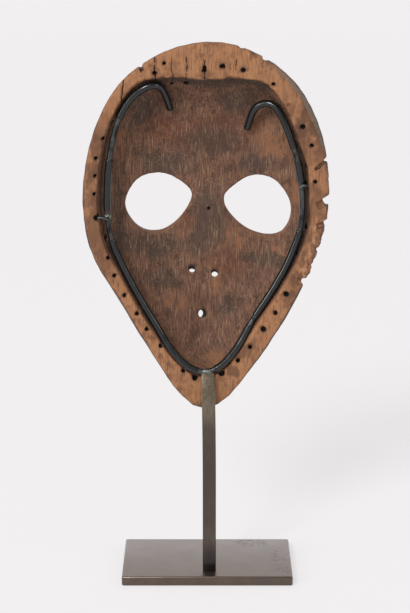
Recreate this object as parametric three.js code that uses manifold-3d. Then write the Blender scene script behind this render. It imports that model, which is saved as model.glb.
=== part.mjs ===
// A carved wooden face mask of the Dan kind, held from behind by a metal display stand.
// Millimetres, +Z up. The face looks along +Y and its hollow back faces -Y.
// The origin is the middle of the base plate's underside.

import * as THREE from "three";
import { mergeVertices } from "three/addons/utils/BufferGeometryUtils.js";
import Module from "manifold-3d";

const wasm = await Module();
wasm.setup();

// Driving dimensions of the base plate
const PLATE_WIDTH = 117;
const PLATE_DEPTH = 66;
const PLATE_THICKNESS = 7;
const PLATE_CORNER_RADIUS = 1.2;
const PLATE_EDGE_BEVEL = 0.5;

// Driving dimensions of the flat bar that rises from the plate
const BAR_WIDTH = 9;
const BAR_THICKNESS = 3;
const BAR_SETBACK = 9.5;
const BAR_SIDESTEP = 1.4;
const BAR_EDGE_BEVEL = 0.4;
const BAR_BEND_LENGTH = 37;
const BAR_TWIST_DEGREES = 6;

// Driving dimensions of the round rod that cradles the mask, and of what is on it
const ROD_DIAMETER = 3.7;
const SLEEVE_WALL = 0.45;
const SLEEVE_CLEARANCE = 0.15;
const ROD_DEPTH_IN_HOLLOW = 5;
const ROD_DEPTH_AT_BAR = -0.6;
const CLAW_DIAMETER = 2.8;
const TOUCH_GAP = 0.3;

// Driving dimensions of the mask
const MASK_LENGTH = 247;
const MASK_WIDTH = 161;
const CHIN_HEIGHT = 120.6;
const MASK_SIDESTEP = -1;
const RIM_THICKNESS = 7;
const RIM_GAP_TO_BAR = 6.8;
const RIM_BAND = 12;
const RIM_EDGE_ROUND = 1.6;
const MOUTH_EDGE_ROUND = 0.8;
const FLANGE_TOP = 13;
const FLANGE_SIDE = 5;
const FLANGE_CHIN = 8;
const FLANGE_TO_MOUTH = 3;
const HOLLOW_DEPTH = 31;
const FACE_WALL = 7;
const LACING_HOLE_RADIUS = 1.75;
const NOSTRIL_RADIUS = 2.5;
const BREATH_HOLE_RADIUS = 3;
const BROW_HOLE_RADIUS = 1.3;

const { smoothstep, degToRad, clamp } = THREE.MathUtils;
const halfLength = MASK_LENGTH / 2;
const halfWidth = MASK_WIDTH / 2;
const barY = -PLATE_DEPTH / 2 + BAR_SETBACK + BAR_THICKNESS / 2;
const rimY = barY + BAR_THICKNESS / 2 + RIM_GAP_TO_BAR;
const maskZ = CHIN_HEIGHT + halfLength;
const rodRadius = ROD_DIAMETER / 2;
const sleeveInner = rodRadius + SLEEVE_CLEARANCE;
const sleeveOuter = sleeveInner + SLEEVE_WALL;

// The mask's own frame, seen from behind: u to the right, w up from its middle, d forward from its back.
const place = (u, w, d) => [MASK_SIDESTEP + u, rimY + d, maskZ + w];

// A smooth line through a few points.
function lineThrough(points, closed) {
  const spots = points.map(([x, y, z = 0]) => new THREE.Vector3(x, y, z));
  return new THREE.CatmullRomCurve3(spots, closed, "centripetal");
}

// A smooth value that runs through pairs of [place, value].
function runThrough(pairs, x) {
  const last = pairs.length - 1;
  if (x <= pairs[0][0]) return pairs[0][1];
  if (x >= pairs[last][0]) return pairs[last][1];
  const i = pairs.findIndex(([at]) => at > x) - 1;
  const slope = (a, b) => (pairs[b][1] - pairs[a][1]) / (pairs[b][0] - pairs[a][0]);
  const [x0, y0] = pairs[i];
  const [x1, y1] = pairs[i + 1];
  const span = x1 - x0;
  const slope0 = slope(Math.max(i - 1, 0), i + 1);
  const slope1 = slope(i, Math.min(i + 2, last));
  const t = (x - x0) / span;
  const rise = t * t * (3 - 2 * t);
  const bend0 = t * (1 - t) * (1 - t) * span * slope0;
  const bend1 = t * t * (t - 1) * span * slope1;
  return y0 + (y1 - y0) * rise + bend0 + bend1;
}

// A bell-shaped bump of height 1.
const bump = (x, width) => Math.exp(-(x * x) / (width * width));

// The rim's outline from the crown round by the left, in shares of half the width and half the length.
const OUTLINE = [
  [0.01, 1.0], [-0.31, 0.954], [-0.664, 0.803], [-0.888, 0.562], [-1.0, 0.235], [-0.99, 0.04],
  [-0.938, -0.122], [-0.704, -0.402], [-0.418, -0.716], [-0.207, -0.92], [-0.037, -1.0], [0.131, -0.961],
  [0.338, -0.806], [0.679, -0.464], [0.882, -0.18], [0.988, 0.063], [1.0, 0.26], [0.944, 0.5],
  [0.766, 0.75], [0.502, 0.906], [0.224, 0.985],
];
// Rings of the carving are drawn about a point low on the nose.
const ringCentre = new THREE.Vector2(0, -0.2 * halfLength);
const outlineCurve = lineThrough(OUTLINE.map(([u, w]) => [u * halfWidth, w * halfLength]), true);

// A spot at an angle and a radius about the ring centre.
const spotAt = (angle, radius) => [
  ringCentre.x + radius * Math.cos(angle),
  ringCentre.y + radius * Math.sin(angle),
];

const OUTLINE_SAMPLES = 720;
const outlinePolar = outlineCurve
  .getSpacedPoints(OUTLINE_SAMPLES)
  .slice(0, -1)
  .map((p) => new THREE.Vector2(p.x, p.y).sub(ringCentre))
  .map((p) => ({ angle: Math.atan2(p.y, p.x), radius: p.length() }))
  .sort((a, b) => a.angle - b.angle);

function outlineRadius(anyAngle) {
  const turn = 2 * Math.PI;
  const angle = Math.atan2(Math.sin(anyAngle), Math.cos(anyAngle));
  const n = outlinePolar.length;
  const found = outlinePolar.findIndex((entry) => entry.angle > angle);
  const next = found < 0 ? 0 : found;
  const before = outlinePolar[(next + n - 1) % n];
  const after = outlinePolar[next];
  const gap = (after.angle - before.angle + turn) % turn;
  const share = ((angle - before.angle + turn) % turn) / gap;
  return before.radius + (after.radius - before.radius) * share;
}

// The width of the raw rim band, against its width at the sides, by the angle in degrees.
const BAND_SHARES = [
  [-90, 1.95], [-71, 1.45], [-46, 1.26], [-13, 1.06], [12, 1.04], [23, 1.05], [32, 1.27], [46, 1.4],
  [56, 1.58], [67, 1.3], [72, 1.14], [80, 1.62], [90, 2.05], [99, 1.5], [105, 1.04], [109, 0.72],
  [121, 0.74], [129, 0.85], [140, 0.95], [162, 0.94], [180, 1.0], [199, 0.78], [227, 0.78], [248, 1.05],
  [262, 1.66], [270, 1.95],
];
function mouthRadius(angle) {
  const degrees = THREE.MathUtils.radToDeg(angle);
  const turned = THREE.MathUtils.euclideanModulo(degrees + 90, 360) - 90;
  return outlineRadius(angle) - RIM_BAND * runThrough(BAND_SHARES, turned);
}

// The front flange is widest at the crown and the chin, and ends well outside the mouth of the hollow.
const FLANGE_TOP_FROM = [0.55, 0.97];
const FLANGE_CHIN_FROM = [0.9, 1];
function flangeRadius(angle) {
  const top = smoothstep(Math.sin(angle), ...FLANGE_TOP_FROM);
  const chin = smoothstep(-Math.sin(angle), ...FLANGE_CHIN_FROM);
  const width = FLANGE_SIDE + (FLANGE_TOP - FLANGE_SIDE) * top + (FLANGE_CHIN - FLANGE_SIDE) * chin;
  const band = outlineRadius(angle) - mouthRadius(angle);
  return outlineRadius(angle) - Math.min(width, band - FLANGE_TO_MOUTH);
}

// The back edge is worn to a slope at the upper right and a little at the lower left: angle and spread in
// degrees, and how much wider than the plain round of the edge.
const EDGE_WEAR = [{ at: 60, spread: 13, extra: 2.4 }, { at: 203, spread: 11, extra: 1.3 }];
function backEdge(angle) {
  const turned = THREE.MathUtils.euclideanModulo(THREE.MathUtils.radToDeg(angle), 360);
  const wear = EDGE_WEAR.reduce((sum, { at, spread, extra }) => sum + extra * bump(turned - at, spread), 0);
  return RIM_EDGE_ROUND * (1 + wear);
}
const EDGE_WEAR_SLOPE = 0.75;
const edgeDrop = (angle) => RIM_EDGE_ROUND + (backEdge(angle) - RIM_EDGE_ROUND) * EDGE_WEAR_SLOPE;

// How deep the hollow is along the middle line: shares of its depth against shares of half the length.
const HOLLOW_PROFILE = [
  [-1, 0.65], [-0.78, 0.84], [-0.5, 0.92], [-0.1, 0.86], [0.1, 0.86], [0.45, 1], [0.7, 1], [1, 0.85],
];
const floorDepth = (w) => HOLLOW_DEPTH * runThrough(HOLLOW_PROFILE, w / halfLength);

// The hollow is steep at its mouth and flat on its floor, with a shallow valley down the middle of the chin.
const HOLLOW_FLATNESS = 4;
const VALLEY_DEPTH = 1.8;
const VALLEY_WIDTH = 9;
const VALLEY_FROM = [0.1, 0.5];

// The middle line of the features leans a little.
const MIDDLE_OFFSET = -0.55;
const MIDDLE_LEAN = 0.05;
const middleLine = (w) => MIDDLE_OFFSET + MIDDLE_LEAN * w;

function hollowAt(u, w) {
  const angle = Math.atan2(w - ringCentre.y, u - ringCentre.x);
  const share = Math.hypot(u - ringCentre.x, w - ringCentre.y) / mouthRadius(angle);
  if (share >= 1) return 0;
  const bowl = Math.sqrt(1 - share ** HOLLOW_FLATNESS);
  const valley = smoothstep(-w / halfLength, ...VALLEY_FROM) * VALLEY_DEPTH;
  const beside = 1 - Math.exp(-Math.abs(u - middleLine(w)) / VALLEY_WIDTH);
  return (floorDepth(w) - valley * beside) * bowl;
}

// How far inside the mouth of the hollow its wall lies at a depth.
function wallInset(angle, depth) {
  const radius = mouthRadius(angle);
  const bowl = Math.min(depth / floorDepth(spotAt(angle, radius)[1]), 0.95);
  return radius * (1 - (1 - bowl * bowl) ** (1 / HOLLOW_FLATNESS));
}

// The eye openings, in shares of half the width and half the length.
const LEFT_EYE = [
  [-0.671, 0.114], [-0.575, 0.236], [-0.454, 0.27], [-0.326, 0.266], [-0.226, 0.233], [-0.14, 0.19],
  [-0.113, 0.158], [-0.136, 0.106], [-0.188, 0.05], [-0.273, -0.009], [-0.38, -0.049], [-0.5, -0.046],
  [-0.603, 0.006],
];
const RIGHT_EYE = [
  [0.156, 0.155], [0.2, 0.183], [0.286, 0.227], [0.371, 0.255], [0.47, 0.26], [0.575, 0.235],
  [0.677, 0.157], [0.707, 0.085], [0.688, 0.01], [0.62, -0.053], [0.5, -0.071], [0.374, -0.048],
  [0.289, -0.011], [0.203, 0.047], [0.157, 0.096],
];
const eyes = [LEFT_EYE, RIGHT_EYE].map((eye) => {
  const curve = lineThrough(eye.map(([u, w]) => [u * halfWidth, w * halfLength]), true);
  const box = new THREE.Box3().setFromPoints(curve.getSpacedPoints(eye.length * 4));
  return { curve, centre: box.getCenter(new THREE.Vector3()), size: box.getSize(new THREE.Vector3()) };
});

// The carving of the face: each form is a height above the smooth shell. Up and side are shares of half the
// length and half the width, and the other sizes are millimetres.
const BROW = { step: 6, up: 0.19, arch: 0.14, archSide: 0.85, blend: 0.1 };
const RIDGE = { height: 1.8, side: 0.05, from: 0.24, to: 0.8, fade: 0.12 };
const EYE_RING = { height: 2.6, width: 2.8 };
const NOSE = { root: 0.19, base: -0.265, height: 18, bridgeHeight: 4, half: 14, bridgeHalf: 5.5, crest: 1.7 };
const NOSE_WING = { height: 7.5, out: 8.6, above: 6, wide: 4.6, tall: 6 };
const NOSE_UNDERCUT = { below: 4.5, above: 3 };
const LIPS = { up: -0.525, height: 11, half: 23, thin: 5, full: 5, parting: 0.42, partingTall: 3.4 };
const CHEEK = { height: 3.4, side: 0.44, wide: 0.2, up: -0.21, tall: 0.2 };
const CHEEK_HOLLOW = { height: -1.6, side: 0.24, wide: 0.11, up: -0.4, tall: 0.11 };
const CHIN = { height: 4.5, side: 0, wide: 0.16, up: -0.76, tall: 0.08 };

const sideOf = (u, w) => Math.abs(u - middleLine(w)) / halfWidth;
const swelling = (form, u, w) =>
  form.height * bump(sideOf(u, w) - form.side, form.wide) * bump(w / halfLength - form.up, form.tall);

function forehead(u, w) {
  const edge = BROW.up + BROW.arch * Math.sin(Math.PI * Math.min(sideOf(u, w) / BROW.archSide, 1));
  return BROW.step * smoothstep(w / halfLength, edge, edge + BROW.blend);
}

function foreheadRidge(u, w) {
  const up = w / halfLength;
  const starts = smoothstep(up, RIDGE.from, RIDGE.from + RIDGE.fade);
  const ends = smoothstep(up, RIDGE.to - RIDGE.fade, RIDGE.to);
  return RIDGE.height * starts * (1 - ends) * bump(sideOf(u, w), RIDGE.side);
}

function eyeRings(u, w) {
  return eyes.reduce((sum, { centre, size }) => {
    const share = Math.hypot((u - centre.x) / (size.x / 2), (w - centre.y) / (size.y / 2));
    const outside = (share - 1) * (size.y / 2);
    return sum + EYE_RING.height * bump(outside - EYE_RING.width, EYE_RING.width);
  }, 0);
}

function nose(u, w) {
  const root = NOSE.root * halfLength;
  const base = NOSE.base * halfLength;
  const down = clamp((root - w) / (root - base), 0, 1);
  const aside = Math.abs(u - middleLine(w));
  const half = NOSE.bridgeHalf + (NOSE.half - NOSE.bridgeHalf) * down * down;
  const crest = NOSE.bridgeHeight + (NOSE.height - NOSE.bridgeHeight) * down;
  const across = Math.max(0, 1 - (aside / half) ** NOSE.crest);
  const bridge = crest * across * (1 - smoothstep(w, root, root + half));
  const wingAcross = bump(aside - NOSE_WING.out, NOSE_WING.wide);
  const wing = NOSE_WING.height * wingAcross * bump(w - base - NOSE_WING.above, NOSE_WING.tall);
  return Math.max(bridge, wing) * smoothstep(w, base - NOSE_UNDERCUT.below, base + NOSE_UNDERCUT.above);
}

function lips(u, w) {
  const line = LIPS.up * halfLength;
  const aside = Math.abs(u - middleLine(line)) / LIPS.half;
  if (aside >= 1) return 0;
  const fade = Math.sqrt(1 - aside * aside);
  const body = bump(w - line, LIPS.thin + LIPS.full * fade);
  return LIPS.height * fade * (body - LIPS.parting * bump(w - line, LIPS.partingTall));
}

const FORMS = [
  forehead,
  foreheadRidge,
  eyeRings,
  nose,
  lips,
  (u, w) => swelling(CHEEK, u, w),
  (u, w) => swelling(CHEEK_HOLLOW, u, w),
  (u, w) => swelling(CHIN, u, w),
];

const SHELL_FLATNESS = 3;
const SHELL_EDGE = 0.6;
const FORMS_FADE_IN = [0.05, 0.75];
function faceAt(u, w, share) {
  const shell = share >= 1 ? 0 : (1 - share ** SHELL_FLATNESS) ** SHELL_EDGE;
  const rise = floorDepth(w) + FACE_WALL - RIM_THICKNESS;
  const carved = FORMS.reduce((sum, form) => sum + form(u, w), 0);
  return RIM_THICKNESS + rise * shell + carved * smoothstep(shell, ...FORMS_FADE_IN);
}

// A closed surface from rings of points: closed by two tips, or back into its first ring.
function surfaceOf(rings, tips) {
  const rows = tips ? rings : [...rings, rings[0]];
  const n = rows[0].length;
  const positions = rows.flat(2);
  const index = [];
  const next = (j) => (j + 1) % n;
  const apart = (p, q) => Math.hypot(p[0] - q[0], p[1] - q[1], p[2] - q[2]);
  for (let i = 0; i + 1 < rows.length; i++)
    for (let j = 0; j < n; j++) {
      const [a, b] = [i * n + j, i * n + next(j)];
      const straight = apart(rows[i][j], rows[i + 1][next(j)]);
      const crossed = apart(rows[i][next(j)], rows[i + 1][j]);
      if (straight < crossed) index.push(a, b, b + n, a, b + n, a + n);
      else index.push(a, b, a + n, b, b + n, a + n);
    }
  if (tips) {
    const tip = positions.length / 3;
    const last = (rows.length - 1) * n;
    positions.push(...tips.flat());
    for (let j = 0; j < n; j++) index.push(next(j), j, tip, last + j, last + next(j), tip + 1);
  }
  const geometry = new THREE.BufferGeometry();
  geometry.setAttribute("position", new THREE.Float32BufferAttribute(positions, 3));
  return geometry.setIndex(index);
}

const WELD = 1e-3;
function solidOf(geometry) {
  const bare = geometry.clone();
  bare.deleteAttribute("normal");
  bare.deleteAttribute("uv");
  const { attributes, index } = mergeVertices(bare, WELD);
  const vertProperties = new Float32Array(attributes.position.array);
  const triVerts = new Uint32Array(index.array);
  return new wasm.Manifold(new wasm.Mesh({ numProp: 3, vertProperties, triVerts }));
}

function geometryOf(solid) {
  const mesh = solid.getMesh();
  const geometry = new THREE.BufferGeometry();
  geometry.setAttribute("position", new THREE.BufferAttribute(new Float32Array(mesh.vertProperties), 3));
  geometry.setIndex(new THREE.BufferAttribute(new Uint32Array(mesh.triVerts), 1));
  geometry.computeVertexNormals();
  return geometry;
}

// The uncut mask: rings from the middle of the hollow, over the rim, to the middle of the face.
const RAYS = 68;
const HOLLOW_RINGS = [0.12, 0.27, 0.44, 0.6, 0.74, 0.85, 0.925, 0.97, 0.993];
const FACE_RINGS = 22;
const FACE_RING_CROWDING = 1.12;

function maskBlank() {
  const spaced = outlineCurve.getSpacedPoints(RAYS).slice(0, -1).reverse();
  const angles = spaced.map((p) => Math.atan2(p.y - ringCentre.y, p.x - ringCentre.x));
  const ring = (radiusAt, depthAt) =>
    angles.map((angle) => {
      const [u, w] = spotAt(angle, radiusAt(angle));
      return place(u, w, depthAt(u, w, angle));
    });
  const rings = [
    ...HOLLOW_RINGS.map((share) => ring((a) => share * mouthRadius(a), hollowAt)),
    ring((a) => mouthRadius(a) + MOUTH_EDGE_ROUND, () => 0),
    ring((a) => outlineRadius(a) - backEdge(a), () => 0),
    ring(outlineRadius, (u, w, a) => edgeDrop(a)),
    ring(outlineRadius, () => RIM_THICKNESS - RIM_EDGE_ROUND),
    ring((a) => outlineRadius(a) - RIM_EDGE_ROUND, () => RIM_THICKNESS),
  ];
  for (let i = 0; i < FACE_RINGS; i++) {
    const share = 1 - (i / FACE_RINGS) ** FACE_RING_CROWDING;
    rings.push(ring((a) => share * flangeRadius(a), (u, w) => faceAt(u, w, share)));
  }
  const { x, y } = ringCentre;
  return solidOf(surfaceOf(rings, [place(x, y, hollowAt(x, y)), place(x, y, faceAt(x, y, 0))]));
}

// A round drill that enters the back of the mask at a spot, in a direction of the mask's frame.
const DRILL_LENGTH = 48;
const DRILL_START = -4;
function drillFrom([u, w], [du, dw], radius, sides) {
  const along = new THREE.Vector3(du, 1, dw).normalize();
  const cylinder = new THREE.CylinderGeometry(radius, radius, DRILL_LENGTH, sides);
  cylinder.applyQuaternion(new THREE.Quaternion().setFromUnitVectors(new THREE.Vector3(0, 1, 0), along));
  const back = hollowAt(u, w) - DRILL_START;
  const start = new THREE.Vector3(...place(u - du * back, w - dw * back, DRILL_START));
  const middle = start.addScaledVector(along, DRILL_LENGTH / 2);
  return solidOf(cylinder.translate(middle.x, middle.y, middle.z));
}

// Lacing holes beside the hollow: angle in degrees, distance outside its mouth, and size against the rest.
const SIDE_HOLES = [
  [122.3, -1.8, 1], [127.8, 0.5, 1], [134.3, 3.1, 0.9], [139.6, 2.3, 0.9], [145.8, 1.8, 0.9],
  [154.7, 0.2, 1.6], [164.4, -1.5, 1.3], [174.1, 0.8, 1], [185.1, 3.3, 1], [199.2, 3, 1], [214.5, 1.7, 1],
  [226.9, 1.7, 1], [240.6, 0.6, 1], [251.4, -0.4, 1], [258, 0.7, 1], [264.4, 0, 1.4],
  [63.7, 3, 0.7], [56.3, 6, 1.25], [49.9, 7.1, 1], [45.3, -0.8, 1.1], [39, 4.3, 1], [39.6, -2.1, 1.4],
  [21.3, -1.6, 1.2], [7.9, -1.4, 1.1], [-18.7, 3.9, 1.3], [-33.8, 4.9, 1], [-47.7, 4.7, 1.3], [-61.6, 4.2, 1],
  [-71.4, 3.1, 1], [-81.7, 0.4, 1.4],
];
// The holes above the hollow stand higher on the band: shares of half the width and length, and size. Three
// of them are slits, drilled twice.
const TOP_HOLES = [
  [-0.506, 0.85, 0.9], [-0.512, 0.864, 0.75], [-0.406, 0.836, 1.02], [-0.33, 0.885, 0.85], [-0.32, 0.903, 0.75],
  [-0.273, 0.772, 0.9], [-0.157, 0.777, 1.2], [-0.014, 0.848, 1.1], [-0.01, 0.868, 0.8], [0.132, 0.87, 1.25],
  [0.296, 0.85, 1.15], [0.537, 0.778, 0.9],
];
// They lean outward as they go forward, the lower ones more.
const LACING_SLANT = 0.79;
const LACING_SLANT_BELOW = 0.2;
const LACING_SIDES = 5;

function lacingHoles() {
  const spots = [
    ...SIDE_HOLES.map(([degrees, out, size]) => {
      const angle = degToRad(degrees);
      return [...spotAt(angle, mouthRadius(angle) + out), size];
    }),
    ...TOP_HOLES.map(([u, w, size]) => [u * halfWidth, w * halfLength, size]),
  ];
  return spots.map(([u, w, size]) => {
    const out = new THREE.Vector2(u, w).sub(ringCentre).normalize();
    out.multiplyScalar(LACING_SLANT - LACING_SLANT_BELOW * out.y);
    return drillFrom([u, w], [out.x, out.y], size * LACING_HOLE_RADIUS, LACING_SIDES);
  });
}

// Nostrils, the breath hole between the lips and a small hole between the brows.
const FACE_HOLES = [
  { spot: [-0.117, -0.254], slant: [0, -0.61], radius: NOSTRIL_RADIUS },
  { spot: [0.074, -0.28], slant: [0, -0.57], radius: NOSTRIL_RADIUS },
  { spot: [-0.025, -0.515], slant: [-0.23, -0.26], radius: BREATH_HOLE_RADIUS },
  { spot: [0.024, 0.075], slant: [0.05, 0.25], radius: BROW_HOLE_RADIUS },
];
const FACE_HOLE_SIDES = 10;
function faceHoles() {
  return FACE_HOLES.map(({ spot: [u, w], slant, radius }) =>
    drillFrom([u * halfWidth, w * halfLength], slant, radius, FACE_HOLE_SIDES),
  );
}

// A straight cut from back to front in the shape of an outline.
function cutAlong(curve, count, from, to) {
  const points = curve.getSpacedPoints(count).slice(0, -1);
  const shape = new THREE.Shape(points.map((p) => new THREE.Vector2(p.x, -p.y)));
  const geometry = new THREE.ExtrudeGeometry(shape, { depth: to - from, bevelEnabled: false });
  return solidOf(geometry.rotateX(-Math.PI / 2).translate(...place(0, 0, from)));
}
const EYE_CORNERS = 32;
const eyeCuts = () => eyes.map(({ curve }) => cutAlong(curve, EYE_CORNERS, 1, HOLLOW_DEPTH + NOSE.height));

// Notches worn into the rim: angle in degrees, height, how deep they bite and how far a groove runs on.
const NOTCHES = [
  { angle: 42.6, tall: 2.2, bite: 3, groove: 8 },
  { angle: 36.5, tall: 1.2, bite: 2.6, groove: 0 },
  { angle: 29.5, tall: 5.4, bite: 4, groove: 5 },
  { angle: 21, tall: 3.4, bite: 1.6, groove: 5 },
  { angle: 9, tall: 3.2, bite: 1.5, groove: 0 },
  { angle: 1, tall: 2.8, bite: 1.4, groove: 0 },
  { angle: -8.5, tall: 4.6, bite: 2.4, groove: 4 },
  { angle: 74.5, tall: 3.6, bite: 1.8, groove: 0 },
  { angle: 81, tall: 3, bite: 1.1, groove: 0 },
];
const GROOVE_DEPTH = 2.4;

function notchCuts() {
  const cutter = (angle, reach, tall, from, to) => {
    const box = new THREE.BoxGeometry(2 * reach, to - from, tall).rotateY(-angle);
    return solidOf(box.translate(...place(...spotAt(angle, outlineRadius(angle)), (from + to) / 2)));
  };
  return NOTCHES.flatMap(({ angle, tall, bite, groove }) => {
    const turn = degToRad(angle);
    const through = cutter(turn, bite, tall, DRILL_START, 2 * RIM_THICKNESS);
    const shallow = groove ? [cutter(turn, bite + groove, tall, DRILL_START, GROOVE_DEPTH)] : [];
    return [through, ...shallow];
  });
}

function mask() {
  const cuts = [...eyeCuts(), ...faceHoles(), ...lacingHoles(), ...notchCuts()];
  return cuts.reduce((wood, cut) => wood.subtract(cut), maskBlank());
}

// The cradle is one rod bent to the mouth of the hollow, open at the top, with a hook at each end.
// How far its sleeves keep from touching the wall of the hollow, by the angle in degrees.
const ROD_GAPS = [
  [105, 0], [113, 0.5], [120, 1.4], [128, 3.3], [136, 3.9], [146, 3.8], [159, 2.4], [172, 2], [186, 0],
  [200, 0], [310, 0], [325, 0.1], [346, 0.8], [364, 1.3], [377, 2.4], [395, 1.8], [403, 2.5], [416, 2.2],
];
const rodGap = (degrees) => Math.max(TOUCH_GAP, runThrough(ROD_GAPS, degrees));

// The radius at which a sleeve on the rod would touch the wall at a depth.
const WALL_SMOOTHING = degToRad(4);
function roomAt(angle, depth) {
  const turns = [-1, 0, 1].map((t) => angle + t * WALL_SMOOTHING);
  const free = turns.map((turn) => mouthRadius(turn) - wallInset(turn, depth));
  return free.reduce((a, b) => a + b) / free.length - sleeveOuter - TOUCH_GAP;
}
function fromWall([degrees, depth, gap]) {
  const angle = degToRad(degrees);
  return [...spotAt(angle, roomAt(angle, depth) - gap), depth];
}

// The rod's tips rest on the floor of the hollow: angle in degrees and share of the way to its mouth.
const TIP_LIFT = 1.35;
function onTheFloor([degrees, share]) {
  const angle = degToRad(degrees);
  const [u, w] = spotAt(angle, share * mouthRadius(angle));
  return [u, w, hollowAt(u, w) - (sleeveOuter + TOUCH_GAP) * TIP_LIFT];
}

// The hooks: angle in degrees, depth and distance from the wall.
const LEFT_TIP = [102.8, 0.822];
const LEFT_HOOK = [[103.1, 12, 3.9], [104, 7, 0.7], [106, 3.9, 0.3], [111, 4.4, 0.3]];
const LEFT_ARM = [118, 270];
const RIGHT_ARM = [278, 412];
const RIGHT_HOOK = [[59.6, 5, 2.3], [64.7, 7.1, 1.2], [68.2, 9.2, 1.2], [70.9, 11.3, 3.9], [73, 13.4, 7.6]];
const RIGHT_TIP = [73, 0.73];
const ARM_STEP_DEGREES = 8;
const ARM_RISES_FROM = [0.8, 0.99];

function cradleCurve() {
  const arm = ([from, to]) => {
    const steps = Math.round(Math.abs(to - from) / ARM_STEP_DEGREES);
    return Array.from({ length: steps + 1 }, (_, i) => {
      const degrees = from + ((to - from) * i) / steps;
      const low = smoothstep(-Math.sin(degToRad(degrees)), ...ARM_RISES_FROM);
      const depth = ROD_DEPTH_IN_HOLLOW + (ROD_DEPTH_AT_BAR - ROD_DEPTH_IN_HOLLOW) * low;
      return fromWall([degrees, depth, rodGap(degrees)]);
    });
  };
  const points = [
    onTheFloor(LEFT_TIP),
    ...LEFT_HOOK.map(fromWall),
    ...arm(LEFT_ARM),
    ...arm(RIGHT_ARM),
    ...RIGHT_HOOK.map(fromWall),
    onTheFloor(RIGHT_TIP),
  ];
  return lineThrough(points.map((p) => place(...p)), false);
}

const cradle = cradleCurve();
const FINE_STEPS = 400;
const cradleFrames = cradle.computeFrenetFrames(FINE_STEPS, false);
const cradleSpots = cradle.getSpacedPoints(FINE_STEPS);

// The fine step of the cradle nearest to a spot given in shares of half the width and half the length.
function stepNear([u, w]) {
  const [x, , z] = place(u * halfWidth, w * halfLength, 0);
  const away = cradleSpots.map((p) => Math.hypot(p.x - x, p.z - z));
  return away.indexOf(Math.min(...away));
}

// Soft sleeves are slipped over the rod where it touches or nears the wood.
const SLEEVE_GAP_AT_BAR = 1.4;
const BAR_MEETS_ROD = [0.018, -0.79];
const barStep = stepNear(BAR_MEETS_ROD);
const stepLength = cradle.getLength() / FINE_STEPS;
const besideBar = Math.ceil((BAR_WIDTH / 2 + SLEEVE_GAP_AT_BAR) / stepLength);
const SLEEVES = [
  { name: "left_hook_sleeve", from: 0, to: stepNear([-0.7, 0.59]) },
  { name: "left_side_sleeve", from: stepNear([-0.778, 0.377]), to: stepNear([-0.797, 0.116]) },
  { name: "left_arm_sleeve", from: stepNear([-0.765, -0.05]), to: barStep - besideBar },
  { name: "right_foot_sleeve", from: barStep + besideBar, to: stepNear([0.37, -0.53]) },
  { name: "right_arm_sleeve", from: stepNear([0.41, -0.475]), to: stepNear([0.76, 0.0]) },
  { name: "right_side_sleeve", from: stepNear([0.778, 0.258]), to: stepNear([0.75, 0.374]) },
  { name: "right_hook_sleeve", from: stepNear([0.723, 0.431]), to: FINE_STEPS },
];

// The stations of the rod are closer where it bends, and the sleeves share them.
const MOST_TURN = degToRad(18);
const MOST_STEPS = 8;
function rodStations() {
  const stops = new Set([FINE_STEPS, ...SLEEVES.flatMap((sleeve) => [sleeve.from, sleeve.to])]);
  const kept = [0];
  for (let i = 1; i <= FINE_STEPS; i++) {
    const last = kept.at(-1);
    const turn = cradleFrames.tangents[last].angleTo(cradleFrames.tangents[i]);
    if (stops.has(i) || turn > MOST_TURN || i - last >= MOST_STEPS) kept.push(i);
  }
  return kept;
}
const stations = rodStations();

// A ring of points about a spot of a line.
function ringAbout(spot, normal, binormal, radius, sides) {
  return Array.from({ length: sides }, (_, j) => {
    const turn = (2 * Math.PI * j) / sides;
    const point = spot.clone().addScaledVector(normal, radius * Math.cos(turn));
    return point.addScaledVector(binormal, radius * Math.sin(turn)).toArray();
  });
}

const ROD_SIDES = 6;
function rodRings(from, to, radius) {
  const used = stations.filter((i) => i >= from && i <= to);
  const { normals, binormals } = cradleFrames;
  return used.map((i) => ringAbout(cradleSpots[i], normals[i], binormals[i], radius, ROD_SIDES));
}
function rodBetween(from, to, radius) {
  const tips = [cradleSpots[from].toArray(), cradleSpots[to].toArray()];
  return surfaceOf(rodRings(from, to, radius), tips);
}
function sleeve({ from, to }) {
  return surfaceOf([...rodRings(from, to, sleeveOuter), ...rodRings(from, to, sleeveInner).reverse()]);
}

// Two short claws are brazed to the rod and point outward. The left one ends in a lacing hole and the right
// one just inside the rim: angles in degrees at the rod and at the tip, and how far the tip is outside the
// mouth of the hollow.
const CLAWS = [
  { name: "left_claw", from: 153.3, to: 154.6, reach: 0.9 },
  { name: "right_claw", from: 400.8, to: 399.6, reach: -1.2 },
];
const CLAW_TIP_DEPTH = 0.8;
const CLAW_TAPER = [1, 1, 1, 0.98, 0.9, 0.68, 0.25];
const CLAW_SIDES = 8;
function claw({ from, to, reach }) {
  const radius = CLAW_DIAMETER / 2;
  const [atRod, atTip] = [degToRad(from), degToRad(to)];
  const away = roomAt(atRod, ROD_DEPTH_IN_HOLLOW) - rodGap(from);
  const overRod = ROD_DEPTH_IN_HOLLOW - rodRadius - TOUCH_GAP - radius;
  const curve = lineThrough([
    place(...spotAt(atRod, away - rodRadius), overRod),
    place(...spotAt(atRod, away + rodRadius / 2), overRod),
    place(...spotAt(atTip, mouthRadius(atTip) + reach), CLAW_TIP_DEPTH),
  ], false);
  const steps = CLAW_TAPER.length - 1;
  const { normals, binormals } = curve.computeFrenetFrames(steps, false);
  const spots = curve.getSpacedPoints(steps);
  const rings = spots.map((spot, i) =>
    ringAbout(spot, normals[i], binormals[i], radius * CLAW_TAPER[i], CLAW_SIDES),
  );
  return surfaceOf(rings, [spots[0].toArray(), spots.at(-1).toArray()]);
}

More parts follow.
